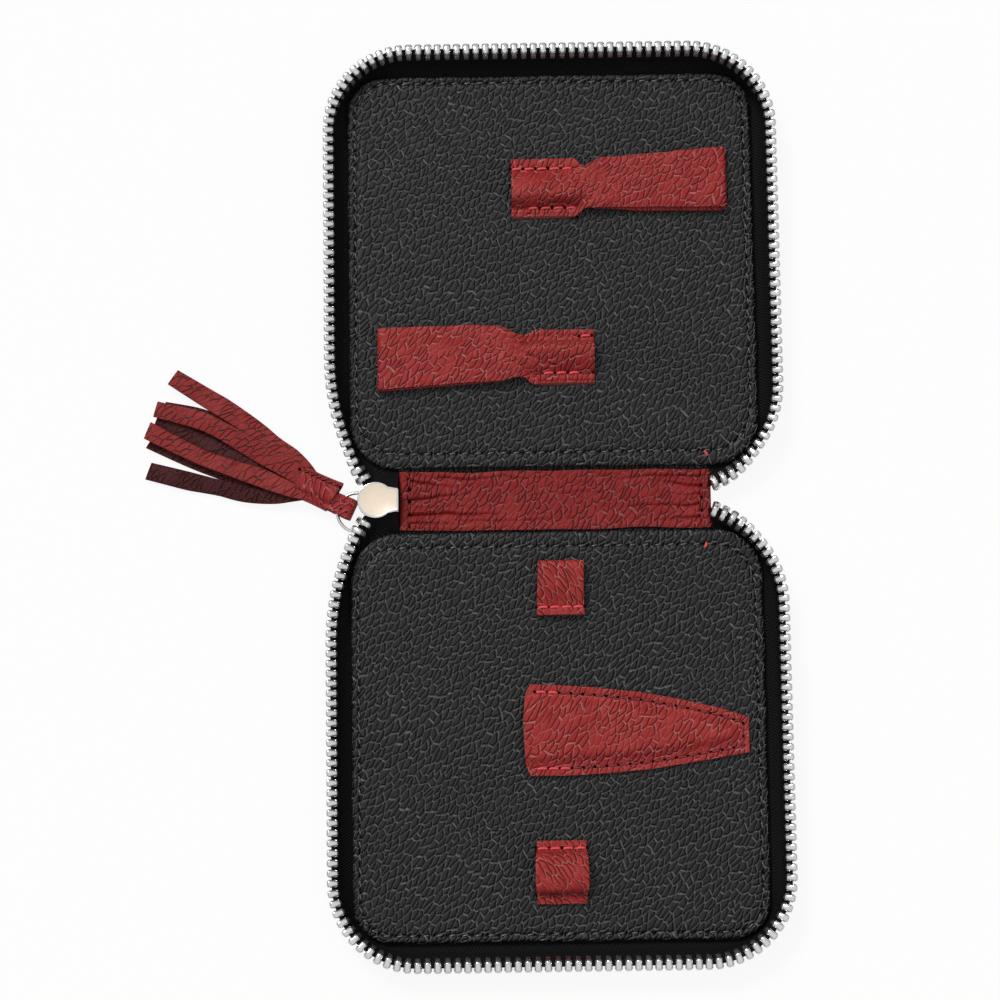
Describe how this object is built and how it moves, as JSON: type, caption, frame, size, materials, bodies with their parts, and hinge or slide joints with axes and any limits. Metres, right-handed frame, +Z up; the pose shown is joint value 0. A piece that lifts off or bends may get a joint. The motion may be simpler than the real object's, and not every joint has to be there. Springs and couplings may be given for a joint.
{
  "type": "manicure set case",
  "caption": "Flat-opening zip case for manicure tools: leather halves on a folding spine, sewn-in straps, loops and pocket, metal zip and tasselled pull ring.",
  "frame": {"origin": "middle of the spine's outer face, on the surface the open case lies on", "axes": "+X along the spine, to the right with the lower half nearest; +Y towards the upper half; +Z up, out of the lining"},
  "size_m": [0.1669, 0.2398, 0.0097],
  "materials": {
    "black_leather": "pebbled full grain, dyed black, semi-matt",
    "red_leather": "pebbled full grain, dyed oxblood red, semi-matt",
    "board": "grey stiffening board",
    "black_thread": "waxed polyester sewing thread, black",
    "red_thread": "waxed polyester sewing thread, dark red",
    "zip_tape": "woven polyester zip tape, herringbone, black",
    "zip_metal": "nickel-plated and polished",
    "slider_metal": "nickel-plated, satin"
  },
  "bodies": {
    "lower_half": {"outer_cover_lower": "black_leather", "board_lower": "board", "lining_lower": "black_leather", "lining_seam_lower": "black_thread", "zip_tape_lower": "zip_tape", "zip_teeth_lower": "zip_metal", "tape_ends_lower": "zip_tape", "teeth_ends_lower": "zip_metal", "file_loop": "red_leather", "file_loop_stitches": "red_thread", "scissors_pocket": "red_leather", "pocket_stitches": "red_thread", "pusher_loop": "red_leather", "pusher_loop_stitches": "red_thread"},
    "spine": {"spine_cover": "black_leather", "spine_stiffener": "board", "spine_lining": "red_leather", "spine_lining_hems": "red_leather", "spine_stitches": "red_thread", "tape_tuck": "zip_tape", "bottom_stop": "zip_metal", "slider_body": "slider_metal"},
    "upper_half": {"outer_cover_upper": "black_leather", "board_upper": "board", "lining_upper": "black_leather", "lining_seam_upper": "black_thread", "zip_tape_upper": "zip_tape", "zip_teeth_upper": "zip_metal", "tape_ends_upper": "zip_tape", "teeth_ends_upper": "zip_metal", "strap_base_right": "red_leather", "strap_stitches_right": "red_thread", "strap_base_left": "red_leather", "strap_stitches_left": "red_thread"},
    "pull_ring": {"pull_ring": "zip_metal"},
    "tassel": {"tassel_loop": "red_leather", "tassel_collar": "red_leather", "tassel_fringe": "red_leather", "tassel_stitches": "red_thread"},
    "right_flap": {"strap_flap_right": "red_leather"},
    "left_flap": {"strap_flap_left": "red_leather"}
  },
  "joints": [
    {"name": "spine_fold", "type": "hinge", "parent": "lower_half", "child": "spine", "pos_m": [0, -0.008, 0.002], "axis": [1, 0, 0], "range_deg": [0, 90], "deforming": ["tape_ends_lower", "teeth_ends_lower"]},
    {"name": "upper_fold", "type": "hinge", "parent": "spine", "child": "upper_half", "pos_m": [0, 0.008, 0.002], "axis": [1, 0, 0], "range_deg": [0, 90], "deforming": ["tape_ends_upper", "teeth_ends_upper"]},
    {"name": "ring_swing", "type": "hinge", "parent": "spine", "child": "pull_ring", "pos_m": [-0.0469, 0, 0.00203], "axis": [0.515, -0.8572, 0], "range_deg": [0, 90]},
    {"name": "tassel_swing", "type": "hinge", "parent": "pull_ring", "child": "tassel", "pos_m": [-0.05581, -0.00047, 0.00203], "axis": [-0.4226, -0.9063, 0], "range_deg": [-75, 30]},
    {"name": "right_flap_lift", "type": "hinge", "parent": "upper_half", "child": "right_flap", "pos_m": [0.00855, 0.0819, 0.0063], "axis": [0, 1, 0], "range_deg": [-60, 0]},
    {"name": "left_flap_lift", "type": "hinge", "parent": "upper_half", "child": "left_flap", "pos_m": [-0.00795, 0.0373, 0.0063], "axis": [0, -1, 0], "range_deg": [-60, 0]}
  ],
  "couplings": [
    {"joint": "upper_fold", "follows": "spine_fold", "ratio": 1}
  ]
}
